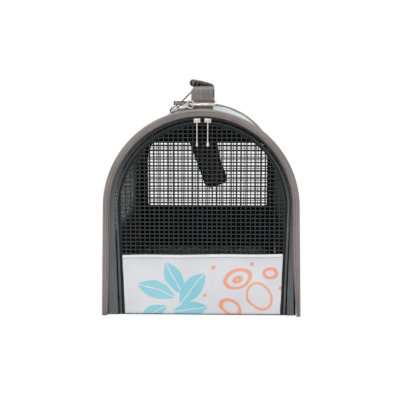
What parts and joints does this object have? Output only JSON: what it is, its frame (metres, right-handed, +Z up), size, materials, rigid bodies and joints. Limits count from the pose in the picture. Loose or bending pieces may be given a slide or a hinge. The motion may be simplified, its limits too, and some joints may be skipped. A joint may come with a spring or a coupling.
{
  "type": "pet travel carrier",
  "caption": "Soft-sided tunnel carrier for a small pet, with a zipped net door that folds down, a rear net window, a top handle and a clipped shoulder strap.",
  "frame": {"origin": "on the floor, under the middle of the carrier's base", "axes": "+X right seen from the door end, +Y from the door to the rear end, +Z up"},
  "size_m": [0.286, 0.4555, 0.3376],
  "materials": {
    "binding": "woven webbing",
    "webbing": "woven webbing",
    "print_cloth": null,
    "dark_cloth": "matt woven",
    "net": "coated net",
    "zipper_tape": "knitted tape",
    "coil": "nylon coil",
    "nickel": "polished",
    "hoop": "glass fibre rod",
    "board": "sheet",
    "fleece": "fleece",
    "adjuster": "moulded",
    "hem": "turned hem"
  },
  "bodies": {
    "shell": {"floor_panel": "dark_cloth", "front_hoop": "hoop", "front_rim_binding": "binding", "rear_hoop": "hoop", "rear_lower_panel": "print_cloth", "rear_rim_binding": "binding", "rear_upper_panel": "dark_cloth", "rear_window_band": "dark_cloth", "rear_window_mesh": "net", "ring_tab_front": "webbing", "ring_tab_rear": "webbing", "roof_panel": "print_cloth", "shell_zipper_coil": "coil", "shell_zipper_tape": "zipper_tape", "shoulder_pad": "dark_cloth", "side_mesh_left": "net", "side_mesh_right": "net", "side_panel_left": "print_cloth", "side_panel_right": "print_cloth", "side_window_band_left": "dark_cloth", "side_window_band_right": "dark_cloth", "snap_eye_front": "nickel", "snap_eye_rear": "nickel", "strap_front_end": "webbing", "strap_hanging_run": "webbing", "strap_return_run": "webbing", "strap_top_run": "webbing"},
    "door": {"door_edging": "dark_cloth", "door_hem": "hem", "door_lower_panel": "print_cloth", "door_mesh": "net", "door_zipper_coil": "coil", "door_zipper_tape": "zipper_tape"},
    "slider_left": {"zipper_slider_left": "nickel"},
    "slider_right": {"zipper_slider_right": "nickel"},
    "pull_left": {"zipper_pull_left": "nickel"},
    "pull_right": {"zipper_pull_right": "nickel"},
    "handle": {"handle_strap": "webbing", "handle_grip": "webbing"},
    "front_ring": {"ring_front": "nickel"},
    "rear_ring": {"ring_rear": "nickel"},
    "front_hook": {"snap_hook_front": "nickel"},
    "rear_hook": {"snap_hook_rear": "nickel"},
    "front_gate": {"snap_gate_front": "nickel"},
    "rear_gate": {"snap_gate_rear": "nickel"},
    "adjuster": {"strap_adjuster": "adjuster"},
    "mat": {"floor_mat": "fleece", "base_board": "board"}
  },
  "joints": [
    {"name": "door_fold", "type": "hinge", "parent": "shell", "child": "door", "pos_m": [0, -0.214, 0.002], "axis": [1, 0, 0], "range_deg": [0, 86]},
    {"name": "slider_left_run", "type": "hinge", "parent": "door", "child": "slider_left", "pos_m": [0.002, -0.214, 0.156], "axis": [0, -1, 0], "range_deg": [0, 84]},
    {"name": "slider_right_run", "type": "hinge", "parent": "door", "child": "slider_right", "pos_m": [0.002, -0.214, 0.156], "axis": [0, 1, 0], "range_deg": [0, 84]},
    {"name": "pull_left_swing", "type": "hinge", "parent": "slider_left", "child": "pull_left", "pos_m": [-0.00549, -0.221, 0.27967], "axis": [0, 1, 0], "range_deg": [-8, 100]},
    {"name": "pull_right_swing", "type": "hinge", "parent": "slider_right", "child": "pull_right", "pos_m": [0.00949, -0.221, 0.27967], "axis": [0, -1, 0], "range_deg": [-8, 100]},
    {"name": "handle_lean", "type": "hinge", "parent": "shell", "child": "handle", "pos_m": [0, 0, 0.3005], "axis": [0, 1, 0], "range_deg": [-3, 4.5]},
    {"name": "ring_front_lift", "type": "hinge", "parent": "shell", "child": "front_ring", "pos_m": [0, -0.15, 0.3005], "axis": [-1, 0, 0], "range_deg": [0, 2.5]},
    {"name": "ring_rear_lift", "type": "hinge", "parent": "shell", "child": "rear_ring", "pos_m": [0, 0.15, 0.3005], "axis": [1, 0, 0], "range_deg": [0, 2]},
    {"name": "hook_front_turn", "type": "hinge", "parent": "shell", "child": "front_hook", "pos_m": [-0.01665, -0.1575, 0.3005], "axis": [-0.9511, 0, -0.309], "range_deg": [-8, 8]},
    {"name": "hook_rear_turn", "type": "hinge", "parent": "shell", "child": "rear_hook", "pos_m": [0, 0.17985, 0.3005], "axis": [0, 0.9994, -0.0349], "range_deg": [-8, 8]},
    {"name": "gate_front_press", "type": "slide", "parent": "front_hook", "child": "front_gate", "axis": [0.829, 0, -0.5592], "range_m": [0, 0.0006], "stiffness_N_per_m": 40},
    {"name": "gate_rear_press", "type": "slide", "parent": "rear_hook", "child": "rear_gate", "axis": [0, -0.6428, -0.766], "range_m": [0, 0.0006], "stiffness_N_per_m": 40},
    {"name": "adjuster_slide", "type": "slide", "parent": "shell", "child": "adjuster", "axis": [0, 1, 0], "range_m": [-0.03, 0.03]},
    {"name": "mat_lift", "type": "slide", "parent": "shell", "child": "mat", "axis": [0, 0, 1], "range_m": [0, 0.04]}
  ]
}
